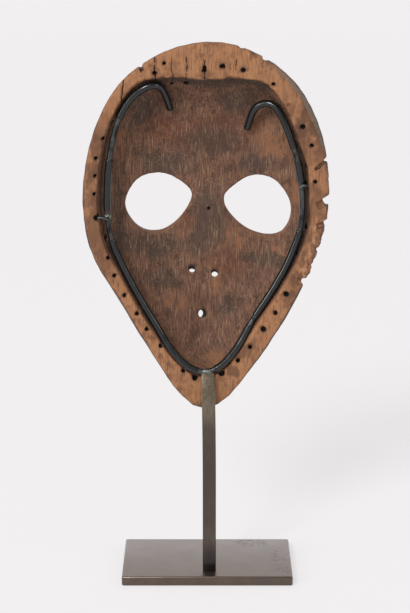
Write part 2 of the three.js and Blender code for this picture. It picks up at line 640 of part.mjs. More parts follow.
// The bar stands on the plate, leans a little to the left and bends forward over the chin to meet the rod.
const BAR_BEND_POWER = 3;
const BAR_LEAN_POWER = 5;
const BAR_STRAIGHT_STEPS = 6;
const BAR_BEND_STEPS = 9;
const BAR_SLOPE_STEP = 0.5;
const BAR_STOPS_SHORT = 0.5;
function bar() {
  const end = cradleSpots[barStep];
  const foot = PLATE_THICKNESS + TOUCH_GAP;
  const bendStart = end.z - BAR_BEND_LENGTH;
  const at = (z) => {
    const bend = Math.max(0, (z - bendStart) / BAR_BEND_LENGTH) ** BAR_BEND_POWER;
    const lean = ((z - foot) / (end.z - foot)) ** BAR_LEAN_POWER;
    const x = BAR_SIDESTEP + (end.x - BAR_SIDESTEP) * lean;
    return new THREE.Vector3(x, barY + (end.y - barY) * bend, z);
  };
  const evenly = (from, to, steps) =>
    Array.from({ length: steps }, (_, i) => from + ((to - from) * i) / steps);
  const straight = evenly(foot, bendStart, BAR_STRAIGHT_STEPS);
  const top = end.z - BAR_STOPS_SHORT;
  const heights = [...straight, ...evenly(bendStart, top, BAR_BEND_STEPS), top];
  const halfW = BAR_WIDTH / 2;
  const halfT = BAR_THICKNESS / 2;
  const corners = [[1, 1], [-1, 1], [-1, -1], [1, -1]].flatMap(([a, b]) => {
    const wide = [a * halfW, b * (halfT - BAR_EDGE_BEVEL)];
    const narrow = [a * (halfW - BAR_EDGE_BEVEL), b * halfT];
    return a * b > 0 ? [wide, narrow] : [narrow, wide];
  });
  const rings = heights.map((z) => {
    const rise = at(z + BAR_SLOPE_STEP).sub(at(z - BAR_SLOPE_STEP));
    const along = z === foot ? new THREE.Vector3(0, 0, 1) : rise.normalize();
    const turn = degToRad(BAR_TWIST_DEGREES) * Math.max(0, (z - bendStart) / BAR_BEND_LENGTH);
    const wide = new THREE.Vector3(Math.cos(turn), Math.sin(turn), 0);
    const thick = along.clone().cross(wide).normalize();
    wide.crossVectors(thick, along);
    return corners.map(([a, b]) => at(z).addScaledVector(wide, a).addScaledVector(thick, b).toArray());
  });
  const blank = solidOf(surfaceOf(rings, [at(foot).toArray(), at(top).toArray()]));
  const [left, right] = [SLEEVES[2].from, SLEEVES[4].from];
  return blank.subtract(solidOf(rodBetween(left, right, rodRadius + TOUCH_GAP)));
}

function basePlate() {
  const x = PLATE_WIDTH / 2 - PLATE_EDGE_BEVEL;
  const y = PLATE_DEPTH / 2 - PLATE_EDGE_BEVEL;
  const r = PLATE_CORNER_RADIUS;
  const shape = new THREE.Shape();
  shape.moveTo(r - x, -y);
  shape.lineTo(x - r, -y);
  shape.absarc(x - r, r - y, r, -Math.PI / 2, 0);
  shape.lineTo(x, y - r);
  shape.absarc(x - r, y - r, r, 0, Math.PI / 2);
  shape.lineTo(r - x, y);
  shape.absarc(r - x, y - r, r, Math.PI / 2, Math.PI);
  shape.lineTo(-x, r - y);
  shape.absarc(r - x, r - y, r, Math.PI, 1.5 * Math.PI);
  const geometry = new THREE.ExtrudeGeometry(shape, {
    depth: PLATE_THICKNESS - 2 * PLATE_EDGE_BEVEL,
    bevelThickness: PLATE_EDGE_BEVEL,
    bevelSize: PLATE_EDGE_BEVEL,
    bevelSegments: 1,
    curveSegments: 2,
  });
  return geometry.translate(0, 0, PLATE_EDGE_BEVEL);
}

function finish(color, roughness, metalness) {
  return new THREE.MeshStandardMaterial({ color, roughness, metalness });
}
const carvedWood = finish(0x6b4a38, 0.75, 0);
const patinatedSteel = finish(0x5a4e46, 0.42, 0.85);
const darkRod = finish(0x4a4e4b, 0.4, 0.8);
const blackSleeve = finish(0x26292a, 0.45, 0);

function part(name, geometry, material) {
  const mesh = new THREE.Mesh(geometry, material);
  mesh.name = name;
  return mesh;
}

const object = new THREE.Group();
object.name = "dan_mask_on_stand";
object.add(part("mask", geometryOf(mask()), carvedWood));
object.add(part("base_plate", basePlate(), patinatedSteel));
object.add(part("upright_bar", geometryOf(bar()), patinatedSteel));
object.add(part("cradle_rod", rodBetween(0, FINE_STEPS, rodRadius), darkRod));
for (const entry of CLAWS) object.add(part(entry.name, claw(entry), darkRod));
for (const entry of SLEEVES) object.add(part(entry.name, sleeve(entry), blackSleeve));

export default object;
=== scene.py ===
# Looks for a carved wooden face mask on its metal display stand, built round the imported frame.
import itertools
import math

import bpy
import numpy as np
from bpy.props import FloatProperty, FloatVectorProperty, IntProperty, PointerProperty
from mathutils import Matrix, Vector
from mathutils.bvhtree import BVHTree
from mathutils.kdtree import KDTree


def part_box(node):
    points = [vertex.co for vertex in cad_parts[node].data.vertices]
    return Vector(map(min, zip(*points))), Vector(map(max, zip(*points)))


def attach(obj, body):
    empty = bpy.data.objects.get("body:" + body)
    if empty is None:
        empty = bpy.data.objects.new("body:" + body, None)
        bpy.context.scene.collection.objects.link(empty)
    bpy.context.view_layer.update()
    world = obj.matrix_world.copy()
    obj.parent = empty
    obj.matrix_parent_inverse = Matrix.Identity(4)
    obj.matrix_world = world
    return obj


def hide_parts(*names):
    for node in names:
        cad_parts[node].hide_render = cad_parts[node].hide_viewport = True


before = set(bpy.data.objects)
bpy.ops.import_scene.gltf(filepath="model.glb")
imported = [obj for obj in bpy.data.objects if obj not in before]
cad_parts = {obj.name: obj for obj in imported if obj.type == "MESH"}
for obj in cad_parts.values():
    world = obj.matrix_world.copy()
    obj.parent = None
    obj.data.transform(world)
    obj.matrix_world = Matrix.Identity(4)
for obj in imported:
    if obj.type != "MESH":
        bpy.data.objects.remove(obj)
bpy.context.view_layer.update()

bl_info = {
    "name": "Face mask on a display stand",
    "version": (1, 0, 0),
    "blender": (4, 5, 0),
    "location": "View3D > Sidebar > Mask",
    "description": "Carves, finishes and stages a wooden face mask and its metal stand",
    "category": "Add Mesh",
}

MM = 0.001
MERGE = 0.002 * MM


def linear(hexcode):
    """A colour written as sRGB hex, in linear light with full cover."""
    parts = [int(hexcode[i:i + 2], 16) / 255 for i in (1, 3, 5)]
    bright = [c / 12.92 if c <= 0.04045 else ((c + 0.055) / 1.055) ** 2.4 for c in parts]
    return (*bright, 1.0)


def shade(name, hexcode, description):
    """A colour setting that a user can change."""
    return FloatVectorProperty(
        name=name, description=description, subtype="COLOR", size=4, min=0, max=1, default=linear(hexcode)
    )


def size(name, millimetres, description):
    """A length setting that a user can change."""
    return FloatProperty(name=name, description=description, unit="LENGTH", min=0, default=millimetres * MM)


# Settings


class MaskLook(bpy.types.PropertyGroup):
    grid: size("Surface grid", 0.8, "Spacing of the points that carry the carving")
    gouge_width: size("Gouge width", 5, "Width of one stroke of the gouge in the hollow")
    gouge_length: size("Gouge length", 15, "Length of one stroke of the gouge in the hollow")
    gouge_depth: size("Gouge depth", 0.22, "Depth of one stroke of the gouge in the hollow")
    fibre: size("Fibre width", 0.8, "Width of the wood's fibres as they show")
    most_faces: IntProperty(name="Most faces", description="Triangles left in the wood", default=170000)
    hollow_dark: shade("Hollow, dark", "#3B281D", "The dark strokes of the hollow")
    hollow_mid: shade("Hollow", "#6B4A39", "Smoke and handling on the wood of the hollow")
    hollow_light: shade("Hollow, light", "#A08064", "The light strokes and scratches of the hollow")
    hollow_red: shade("Hollow, red", "#5F3320", "The red stain in the middle of the forehead")
    hollow_grey: shade("Hollow, grey", "#392F29", "The grey film over and under the eyes")
    hollow_warm: shade("Hollow, warm", "#8F6040", "Where the hollow is rubbed back to the wood")
    raw_dark: shade("Raw wood, dark", "#734C32", "The dark fibres of the rim")
    raw_mid: shade("Raw wood", "#986A48", "The raw wood of the rim")
    raw_light: shade("Raw wood, light", "#B68B65", "The light fibres of the rim")
    smudge: shade("Smudges", "#5A3C2A", "Handling marks on the rim")
    dust: shade("Dust", "#3D332C", "The dusty band under the top of the rim")
    worn_edge: shade("Worn edge", "#6E6258", "The grey worn slope of the rim")
    edge_line: shade("Edge line", "#4C4039", "The dark line round the outer edge")
    # Painted shade in the lacing holes and cracks, and the painted shadow beside the right rod
    bore_shade: shade("Bores", "#120C09", "Grime in the lacing holes and cracks")
    face_dark: shade("Face", "#2C1E18", "Stain and polish on the face")
    face_worn: shade("Face, worn", "#5B3D2C", "Where the face is rubbed")


class StandLook(bpy.types.PropertyGroup):
    rod: size("Rod", 3.7, "Diameter of the cradle's rod")
    sleeve: size("Sleeve", 4.9, "Outside diameter of the soft sleeves")
    sleeve_wall: size("Sleeve wall", 0.45, "Thickness of the soft sleeves")
    station: size("Stations", 1.2, "Distance between the rings of points along the rod")
    sides: IntProperty(name="Sides", description="Points round the rod", default=24)
    rod_round: size("Rod ends", 0.3, "Rounding of the rod's ends")
    sleeve_round: size("Sleeve ends", 0.14, "Rounding of the ends of the sleeves")
    bar_round: size("Bar edges", 0.18, "Rounding of the bar's edges")
    plate_round: size("Plate edges", 0.45, "Rounding of the plate's edges")
    plate_corner: size("Plate corners", 1.3, "Rounding of the plate's upright corners")
    steel: shade("Patina", "#5F5147", "Brown patina on the plate and the bar")
    # Also the painted shade along the middle of the bar
    steel_dark: shade("Patina, dark", "#43372F", "Dark clouds in the patina")
    # Also the painted sheen on the bar's bend
    steel_rub_and_sheen: shade("Patina, rubbed", "#80735F", "Where the patina is rubbed")
    # A painted reflection of the pale room on the top of the plate
    plate_top_reflection: shade("Patina, top", "#857971", "The top of the plate, handled and paler")
    steel_foot: shade("Patina, foot", "#1B120F", "Dark patina at the foot of the bar")
    rod_grey: shade("Rod", "#565858", "The bare rod")
    rod_dark: shade("Rod, dark", "#2F3132", "Dark scale on the rod")
    braze: shade("Braze", "#777872", "The braze at the joints")
    rubber: shade("Sleeve", "#0C0F10", "The soft black sleeves")
    rubber_dull: shade("Sleeve, dull", "#20262A", "Dull scuffs on the sleeves")


class StageLook(bpy.types.PropertyGroup):
    floor: shade("Floor", "#EFEDEE", "The pale floor and backdrop as they look")
    board: shade("Board", "#8C8B8C", "The part of their brightness that shadows can take away")
    room: shade("Room", "#BEBBBB", "The light of the room")
    key_power: FloatProperty(name="Key light", description="Strength of the key light", default=1.9)
    key_softness: FloatProperty(
        name="Key softness", description="Width of the key light", subtype="ANGLE", default=math.radians(17)
    )
    box_power: FloatProperty(name="Soft boxes", description="Power of the left soft box", default=9)
    floor_glow: FloatProperty(
        name="Floor glow", description="The part of the floor's brightness that shadows leave", default=0.7
    )
    lens: FloatProperty(name="Lens", description="Focal length", unit="CAMERA", default=100)
    tilt: FloatProperty(
        name="Tilt", description="How far the camera looks down", subtype="ANGLE", default=math.radians(15.27)
    )
    stand_off: FloatVectorProperty(
        name="Camera", description="Where the camera stands", subtype="XYZ", unit="LENGTH",
        default=(-0.00156, -1.1057, 0.4911),
    )


# Helpers for making pieces


def choose(*objects):
    """Selects these objects alone and makes the first one active."""
    bpy.ops.object.select_all(action="DESELECT")
    for thing in objects:
        thing.select_set(True)
    bpy.context.view_layer.objects.active = objects[0]


def modify(piece, kind, **settings):
    """Adds a modifier with its settings and applies it."""
    choose(piece)
    modifier = piece.modifiers.new(kind.title(), kind)
    for name, value in settings.items():
        setattr(modifier, name, value)
    bpy.ops.object.modifier_apply(modifier=modifier.name)


def copy_of_node(node, name):
    """A new piece with the mesh of a CAD node, its doubles merged."""
    piece = bpy.data.objects.new(name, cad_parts[node].data.copy())
    bpy.context.scene.collection.objects.link(piece)
    piece.data.name = name
    piece.data.materials.clear()
    choose(piece)
    bpy.ops.mesh.customdata_custom_splitnormals_clear()
    bpy.ops.object.mode_set(mode="EDIT")
    bpy.ops.mesh.select_all(action="SELECT")
    bpy.ops.mesh.remove_doubles(threshold=MERGE)
    bpy.ops.object.mode_set(mode="OBJECT")
    return piece


def points_of(piece):
    """The points of a piece's mesh, in millimetres."""
    flat = np.empty(len(piece.data.vertices) * 3)
    piece.data.vertices.foreach_get("co", flat)
    return flat.reshape(-1, 3) / MM


def normals_of(piece):
    flat = np.empty(len(piece.data.vertices) * 3)
    piece.data.vertex_normals.foreach_get("vector", flat)
    return flat.reshape(-1, 3)


def move_points(piece, points):
    """Puts a mesh's points at new places, given in millimetres."""
    piece.data.vertices.foreach_set("co", (points * MM).ravel())
    piece.data.update()


def paint(piece, name, values):
    """Keeps one number per point of the mesh, for the material to read."""
    layer = piece.data.attributes.new(name, "FLOAT", "POINT")
    layer.data.foreach_set("value", np.clip(values, 0, 1).astype(np.float32))


def finish_piece(piece, material, slot, *nodes):
    """Dresses a piece and hands it to the frame in place of its CAD nodes."""
    piece.data.materials.clear()
    piece.data.materials.append(material)
    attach(piece, "root")
    if nodes:
        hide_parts(*nodes)


def ease(x, low, high):
    """0 below low, 1 above high and smooth between."""
    t = np.clip((x - low) / (high - low), 0, 1)
    return t * t * (3 - 2 * t)


def bell(x, width):
    return np.exp(-(x / width) ** 2)


def noise_at(cells, seed):
    """A fixed random number from 0 to 1 for each whole-numbered cell."""
    mixed = seed * 0x9E3779B1
    for axis, prime in enumerate((0x85EBCA6B, 0xC2B2AE35, 0x27D4EB2F)):
        if axis < cells.shape[1]:
            mixed = mixed + cells[:, axis] * prime
    mixed = mixed & 0xFFFFFFFF
    for shift, prime in ((15, 0x2C1B3C6D), (12, 0x297A2D39)):
        mixed = ((mixed ^ (mixed >> shift)) * prime) & 0xFFFFFFFF
    return ((mixed ^ (mixed >> 15)) & 0xFFFF) / 0xFFFF


def lumps(points, width, seed):
    """Soft noise from -1 to 1 at points, with lumps of a width (one number per axis) in millimetres."""
    scaled = points / np.asarray(width, float)
    cells = np.floor(scaled).astype(np.int64)
    t = scaled - cells
    t = t * t * (3 - 2 * t)
    total = np.zeros(len(points))
    for corner in itertools.product((0, 1), repeat=points.shape[1]):
        weight = np.prod(np.where(np.array(corner) == 1, t, 1 - t), axis=1)
        total += weight * noise_at(cells + np.array(corner), seed)
    return 2 * total - 1


def strokes(points, width, seed):
    """How far each point is from the middle of its stroke of the tool: 0 there, about 1 between strokes."""
    scaled = points / np.asarray(width, float)
    cells = np.floor(scaled).astype(np.int64)
    nearest = np.full(len(points), 9.0)
    for step in itertools.product((-1, 0, 1), repeat=2):
        cell = cells + np.array(step)
        middle = cell + 0.15 + 0.7 * np.stack([noise_at(cell, seed), noise_at(cell, seed + 1)], axis=1)
        nearest = np.minimum(nearest, ((scaled - middle) ** 2).sum(axis=1))
    return np.clip(np.sqrt(nearest), 0, 1)


# The wood


MASK_LOW, MASK_HIGH = [np.array(corner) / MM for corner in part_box("mask")]
RIM_Y = MASK_LOW[1]
MASK_MIDDLE = (MASK_LOW + MASK_HIGH) / 2
HALF_LENGTH = (MASK_HIGH[2] - MASK_LOW[2]) / 2
RING_CENTRE = np.array([MASK_MIDDLE[0], MASK_MIDDLE[2] - 0.2 * HALF_LENGTH])
RIM_THICKNESS = 7.0
MOUTH_ROUND = 0.8
BINS = 180


class RimLines:
    """The mouth of the hollow and the outline of the rim, read off the wood as radii round one centre."""

    def __init__(self, points, normals):
        self.mouth = np.full(BINS, np.nan)
        self.outline = np.full(BINS, np.nan)
        angle, radius = self.polar(points)
        which = np.round(angle / (2 * math.pi) * BINS).astype(int) % BINS
        flat = (points[:, 1] < RIM_Y + 0.3) & (normals[:, 1] < -0.85)
        for k in range(BINS):
            here = which == k
            self.outline[k] = np.percentile(radius[here & (points[:, 1] < RIM_Y + RIM_THICKNESS)], 99.5)
            on_rim = radius[here & flat]
            if len(on_rim):
                self.mouth[k] = on_rim.min() - MOUTH_ROUND
        self.mouth = self.calm(self.mouth)
        self.outline = self.calm(self.outline)

    @staticmethod
    def polar(points):
        aside, up = points[:, 0] - RING_CENTRE[0], points[:, 2] - RING_CENTRE[1]
        return np.arctan2(up, aside), np.hypot(aside, up)

    @staticmethod
    def calm(values):
        """The middle value of each five neighbours, so that holes and notches don't count."""
        around = np.stack([np.roll(values, step) for step in range(-2, 3)])
        return np.nanmedian(around, axis=0)

    def at(self, table, angle):
        spot = np.mod(angle / (2 * math.pi) * BINS, BINS)
        return np.interp(spot, np.arange(BINS + 1), np.append(table, table[0]))

    def read(self, points):
        """Angle, radius, mouth radius and outline radius at each point."""
        angle, radius = self.polar(points)
        return angle, radius, self.at(self.mouth, angle), self.at(self.outline, angle)


def distance_to(points, marks):
    """How far each point is from the nearest of some marks, in millimetres."""
    tree = KDTree(len(marks))
    for i, mark in enumerate(marks):
        tree.insert(mark, i)
    tree.balance()
    return np.array([tree.find(p)[2] for p in points])


# Cracks of the rim: half the width, then places seen from behind, across and up, in millimetres
CRACKS = [
    (0.5, [(-34.2, 362), (-33.6, 356.3), (-34.4, 352), (-33.4, 347), (-33.9, 340.5)]),
    (0.4, [(-22.6, 356.5), (-23.1, 351), (-22.0, 347), (-22.5, 342)]),
    (0.35, [(-13.6, 358), (-13.0, 352), (-13.7, 347.5), (-13.2, 343)]),
    (0.35, [(-2.3, 356), (-1.6, 350), (-2.0, 344)]),
    (0.9, [(-53.9, 344.5), (-54.4, 338), (-55.6, 329)]),
    (0.35, [(18.8, 357), (18.2, 350)]),
]
CRACK_DEPTH = 1.0
CRACK_REACH = 1.4
CRACK_WANDER = 0.4


def crack_at(points):
    """How far each point is from the nearest crack seen from behind, and how much of the crack it is in."""
    wander = [lumps(points, (4, 9, 2.5), 31), lumps(points, (9, 9, 3), 32)]
    flat = points[:, [0, 2]] + CRACK_WANDER * np.stack(wander, axis=1)
    nearest, inside = np.full(len(points), 99.0), np.zeros(len(points))
    for width, crack in CRACKS:
        for start, end in zip(crack, crack[1:]):
            a, b = np.array(start), np.array(end)
            along = np.clip(((flat - a) @ (b - a)) / ((b - a) @ (b - a)), 0, 1)
            away = np.hypot(*(flat - a - along[:, None] * (b - a)).T)
            nearest = np.minimum(nearest, away)
            inside = np.maximum(inside, ease(width - away, 0, width))
    return nearest, inside


# Patches of the hollow: the middle across and up, then half the width and height, in millimetres
GREY_PATCHES = [
    (-38, 230, 22, 9), (-29, 284, 20, 8), (37, 285, 15, 7), (2, 254, 11, 17), (-44, 322, 9, 12),
    (20, 328, 14, 8), (38, 220, 20, 7), (13, 186, 9, 8), (-59, 252, 5, 24), (-30, 206, 12, 8),
    (-2, 234, 10, 12), (4, 300, 22, 12),
]
WARM_PATCHES = [
    (18, 232, 9, 10), (49, 226, 7, 4), (17, 264, 9, 5), (-57, 299, 7, 13), (46, 293, 10, 6),
    (5, 200, 7, 9), (-21, 190, 8, 9), (-18, 238, 7, 5), (58, 268, 5, 14),
    (-16, 141, 16, 10), (38, 306, 15, 14), (8, 152, 10, 8),
]
RED_PATCHES = [(4, 302, 26, 17), (-34, 309, 12, 9), (-12, 247, 9, 8), (14, 216, 14, 8)]
PATCH_WANDER = 3.5


def patches(points, table):
    """How much each point lies in one of the patches, whose edges wander."""
    wander = [lumps(points, (9, 9, 9), 51), lumps(points, (9, 9, 9), 52)]
    flat = points[:, [0, 2]] + PATCH_WANDER * np.stack(wander, axis=1)
    total = np.zeros(len(points))
    for x, z, wide, tall in table:
        total += np.exp(-((flat[:, 0] - x) / wide) ** 2 - ((flat[:, 1] - z) / tall) ** 2)
    return total


BORE_WIDTH = 6.6
LEAST_SOFTENING = 0.1
SOFTENING_ROUNDS = 18


def confined(piece, chosen):
    """1 at the chosen points that face wood at once, as in a bore, and 0 elsewhere."""
    tree = BVHTree.FromObject(piece, bpy.context.evaluated_depsgraph_get())
    points, normals = points_of(piece) * MM, normals_of(piece)
    found = np.zeros(len(points))
    for i in np.flatnonzero(chosen):
        start = Vector(points[i] + normals[i] * 0.1 * MM)
        found[i] = tree.ray_cast(start, Vector(normals[i]), BORE_WIDTH * MM)[0] is not None
    return found


def soften(piece, group_values, rounds):
    """Smooths the mesh where the given values are high."""
    group = piece.vertex_groups.new(name="soft")
    steps = np.round(np.clip(group_values, 0, 1) * 8).astype(int)
    for step in range(1, 9):
        group.add(np.flatnonzero(steps == step).tolist(), step / 8, "REPLACE")
    modify(piece, "SMOOTH", factor=0.5, iterations=rounds, vertex_group="soft")
    piece.vertex_groups.clear()


def carve(piece, look):
    """Adds the tool marks, the fibres, the wear and the uneven edge to the wood."""
    points, normals = points_of(piece), normals_of(piece)
    lines = RimLines(points, normals)
    angle, radius, mouth, outline = lines.read(points)
    depth = points[:, 1] - RIM_Y
    behind = normals[:, 1] < 0
    inside = ease(mouth - radius, 1, 5) * behind * ease(depth, 2, 6)
    flat = points[:, [0, 2]].copy()
    flat[:, 0] += 2.2 * lumps(points, (30, 30, 40), 3)
    gouge = (look.gouge_width / MM, look.gouge_length / MM)
    hollow = -(1 - strokes(flat, gouge, 7) ** 2) * look.gouge_depth / MM
    hollow += 0.09 * lumps(points, (1.7, 4, 9), 11) + 0.3 * lumps(points, (14, 14, 22), 12)
    rim = ease(radius - mouth, -1, 2) * ease(3 - depth, 0, 2.5) * behind
    fibres = 0.13 * lumps(points, (1.7, 4, 12), 13) + 0.3 * lumps(points, (8, 8, 10), 14)
    front = ease(normals[:, 1], 0.05, 0.5)
    polish = 0.18 * lumps(points, (13, 13, 18), 15) + 0.05 * lumps(points, (2.5, 5, 9), 16)
    points = points + normals * (inside * hollow + rim * fibres + front * polish)[:, None]
    # The outer edge is nibbled all round, and splintered at the lower right
    edge = ease(radius, outline - 4, outline - 0.5) * ease(9 - depth, 0, 4)
    height = points[:, 2]
    splinters = ease(points[:, 0], 50, 62) * ease(height, 203, 214) * ease(258 - height, 0, 10)
    bite = 0.22 * lumps(points, (5, 6, 6), 21) + splinters * 0.65 * lumps(points, (3.4, 3, 2.8), 22)
    out = np.stack([np.cos(angle), np.zeros(len(angle)), np.sin(angle)], axis=1)
    points += out * (edge * (bite - 0.1 * splinters))[:, None]
    # Splinters roughen the band behind that edge too
    torn = splinters * ease(radius, outline - 11, outline - 5) * behind * ease(3 - depth, 0, 2)
    points += normals * (torn * 0.55 * lumps(points, (6, 3, 2.2), 24))[:, None]
    # The lip under the top is ragged
    lip = bell(radius - mouth, 2.5) * ease(np.sin(angle), 0.75, 0.9) * ease(4 - depth, 0, 3)
    points += out * (lip * 0.8 * lumps(points, (3.2, 6, 3.2), 25))[:, None]
    # The slope at the upper right is scraped
    slope = bell(np.degrees(angle) - 60, 16) * ease(radius, outline - 6, outline - 2) * behind
    points += normals * (slope * 0.18 * lumps(points, (1.6, 3, 1.6), 23))[:, None]
    move_points(piece, points)
    return lines


def open_cracks(piece):
    """Gives the mesh more points along the cracks and presses them in."""
    points = points_of(piece)
    near = crack_at(points)[0] < CRACK_REACH
    near &= (normals_of(piece)[:, 1] < -0.2) & (points[:, 1] < RIM_Y + 12)
    for edge in piece.data.edges:
        edge.select = bool(near[edge.vertices[0]] and near[edge.vertices[1]])
    for vertex, chosen in zip(piece.data.vertices, near):
        vertex.select = bool(chosen)
    for face in piece.data.polygons:
        face.select = all(near[v] for v in face.vertices)
    choose(piece)
    bpy.ops.object.mode_set(mode="EDIT")
    bpy.ops.mesh.select_mode(type="VERT")
    bpy.ops.mesh.subdivide(number_cuts=2, ngon=False)
    bpy.ops.mesh.quads_convert_to_tris()
    bpy.ops.object.mode_set(mode="OBJECT")
    points, normals = points_of(piece), normals_of(piece)
    cracked = crack_at(points)[1] * (normals[:, 1] < -0.2) * (points[:, 1] < RIM_Y + 12)
    points[:, 1] += CRACK_DEPTH * cracked
    move_points(piece, points)
    return cracked


def paint_wood(piece, lines, cracked):
    """Writes where the wood is raw, worn, dusty, grimy or polished, and where shade is painted into the
    bores, the cracks and beside the right rod.
    """
    points, normals = points_of(piece), normals_of(piece)
    angle, radius, mouth, outline = lines.read(points)
    degrees = np.degrees(angle)
    depth = points[:, 1] - RIM_Y
    behind = ease(-normals[:, 1], -0.25, 0.15)
    thick = RIM_THICKNESS
    inset = radius - mouth
    band = ease(inset, -0.9, 0.3) * ease(4 - depth, 0, 2.5)
    side = ease(radius, outline - 2.4, outline - 1.1)
    slope = bell(degrees - 58, 15) * ease(radius, outline - 5.5, outline - 3.5) * ease(depth, 0.1, 0.7)
    paint(piece, "raw", band * np.maximum(behind, ease(thick - 2 - depth, 0, 1.5)))
    paint(piece, "worn", slope * behind)
    height = points[:, 2]
    torn = ease(points[:, 0], 52, 60) * ease(height, 202, 211) * ease(259 - height, 0, 8)
    clean = np.maximum(0.8 * torn, 0.85 * bell(degrees - 92, 26))
    paint(piece, "edge_line", side * ease(thick - depth, 0, 2) * (1 - clean))
    paint(piece, "torn", torn * ease(radius, outline - 12, outline - 7))
    paint(piece, "polished", ease(normals[:, 1], -0.1, 0.3) * ease(depth, 3, 5.5))
    low = 7 + 2.2 * lumps(points, (7, 9, 7), 41) + 2.2 * lumps(points, (2.4, 4, 2.4), 42)
    low *= 0.6 + 0.4 * ease(112 - degrees, 0, 25)
    under_top = ease(degrees, 66, 75) * ease(112 - degrees, 0, 7)
    paint(piece, "dusty", ease(inset, -low, -low * 0.6) * under_top * (1 - band))
    # A painted shadow of the right rod on the wall of the hollow beside it
    by_rod = ease(points[:, 0], 46, 58) * ease(height, 195, 215) * ease(312 - height, 0, 20)
    paint(piece, "painted_rod_shadow", ease(inset, -7.5, -3.5) * (1 - band) * by_rod)
    # Painted shade goes where a point faces wood close by, as in a bore, and into the cracks
    sideways = (normals[:, 1] > -0.8) & (normals[:, 1] < 0.6) & (depth > 0.3)
    bored = confined(piece, sideways & (depth < thick + 35) & (radius < outline - 1))
    # The grooves of the notches are open, so they get less painted shade than the bores
    grooves = ease(radius, outline - 6, outline - 4)
    paint(piece, "bored", np.maximum(bored * (1 - 0.3 * grooves), 0.75 * cracked * behind))
    mouths = distance_to(points, points[bored > 0])
    paint(piece, "halo", np.exp(-mouths / 1.6) * behind)
    share = radius / mouth
    eye_wall = (share < 0.9) & (depth > 14) & (np.abs(normals[:, 1]) < 0.3) & (bored < 1)
    eyes = distance_to(points, points[eye_wall])
    paint(piece, "eye_edge", np.exp(-eyes / 1.9) * behind)
    paint(piece, "grey", patches(points, GREY_PATCHES))
    paint(piece, "warm", patches(points, WARM_PATCHES))
    paint(piece, "red", patches(points, RED_PATCHES))


class DANMASK_OT_mask(bpy.types.Operator):
    """Carves and finishes the wooden mask"""

    bl_idname = "danmask.mask"
    bl_label = "Wooden mask"

    def execute(self, context):
        look = context.scene.mask_look
        mask = copy_of_node("mask", "carved_mask")
        modify(mask, "REMESH", mode="VOXEL", voxel_size=look.grid)
        points, normals = points_of(mask), normals_of(mask)
        _, radius, mouth, _ = RimLines(points, normals).read(points)
        depth = points[:, 1] - RIM_Y
        hollow = ease(mouth - radius, 2, 6) * ease(depth, 3, 7)
        face = ease(depth, RIM_THICKNESS - 1, RIM_THICKNESS + 3) * ease(normals[:, 1], 0.2, 0.6)
        soften(mask, np.maximum(np.maximum(hollow, face), LEAST_SOFTENING), SOFTENING_ROUNDS)
        lines = carve(mask, look)
        count = sum(len(face.vertices) - 2 for face in mask.data.polygons)
        if count > look.most_faces:
            modify(mask, "DECIMATE", ratio=look.most_faces / count)
        paint_wood(mask, lines, open_cracks(mask))
        choose(mask)
        bpy.ops.object.shade_smooth_by_angle(angle=math.radians(50))
        finish_piece(mask, carved_hardwood(look), "carved_wood", "mask")
        return {"FINISHED"}


# The stand


def centreline(node):
    """The middles of the rings of a CAD rod, from one tip to the other, in millimetres."""
    rod = copy_of_node(node, "rod_guide")
    points = points_of(rod)
    near = [set() for _ in points]
    for edge in rod.data.edges:
        a, b = edge.vertices
        near[a].add(b)
        near[b].add(a)
    bpy.data.objects.remove(rod)
    off_centre = [np.linalg.norm(points[list(ring)].mean(axis=0) - p) for ring, p in zip(near, points)]
    tip = int(np.argmin(off_centre))
    middles, seen, ring = [points[tip]], {tip}, {tip}
    while len(seen) < len(points):
        ring = set().union(*(near[v] for v in ring)) - seen
        seen |= ring
        middles.append(points[list(ring)].mean(axis=0))
    line = np.array(middles)
    return line[::-1] if line[0][0] > line[-1][0] else line


def even_line(line, spacing):
    """The same run of points, smoothed and evenly spaced."""
    def lengths(run):
        return np.append(0, np.cumsum(np.linalg.norm(np.diff(run, axis=0), axis=1)))

    keep = np.append(True, np.linalg.norm(np.diff(line, axis=0), axis=1) > 0.2)
    run = line[keep]
    for _ in range(3):
        count = max(8, int(lengths(run)[-1] / spacing))
        at = np.linspace(0, lengths(run)[-1], count)
        run = np.stack([np.interp(at, lengths(run), run[:, k]) for k in range(3)], axis=1)
        for _ in range(6):
            run[1:-1] = 0.5 * run[1:-1] + 0.25 * (run[:-2] + run[2:])
    return run


def tube_along(name, run, thickness, sides, closed=True):
    """A round tube along a run of points, as a mesh."""
    bpy.ops.object.select_all(action="DESELECT")
    bpy.ops.curve.primitive_nurbs_path_add()
    tube = bpy.context.active_object
    tube.name = name
    curve = tube.data
    curve.splines.clear()
    spline = curve.splines.new("POLY")
    spline.points.add(len(run) - 1)
    spline.points.foreach_set("co", np.column_stack([run * MM, np.ones(len(run))]).ravel())
    curve.dimensions = "3D"
    curve.twist_mode = "MINIMUM"
    curve.bevel_depth = thickness / 2
    curve.bevel_resolution = sides // 4 - 1
    curve.use_fill_caps = closed
    choose(tube)
    bpy.ops.object.convert(target="MESH")
    bpy.ops.object.mode_set(mode="EDIT")
    bpy.ops.mesh.select_all(action="SELECT")
    bpy.ops.mesh.remove_doubles(threshold=MERGE)
    bpy.ops.mesh.normals_make_consistent(inside=False)
    bpy.ops.object.mode_set(mode="OBJECT")
    return tube


def rounded(piece, width, segments=2, angle=40):
    """Rounds the sharp edges of a piece and shades it."""
    modify(
        piece, "BEVEL", width=width, segments=segments, limit_method="ANGLE", angle_limit=math.radians(angle)
    )
    choose(piece)
    bpy.ops.object.shade_smooth_by_angle(angle=math.radians(angle))


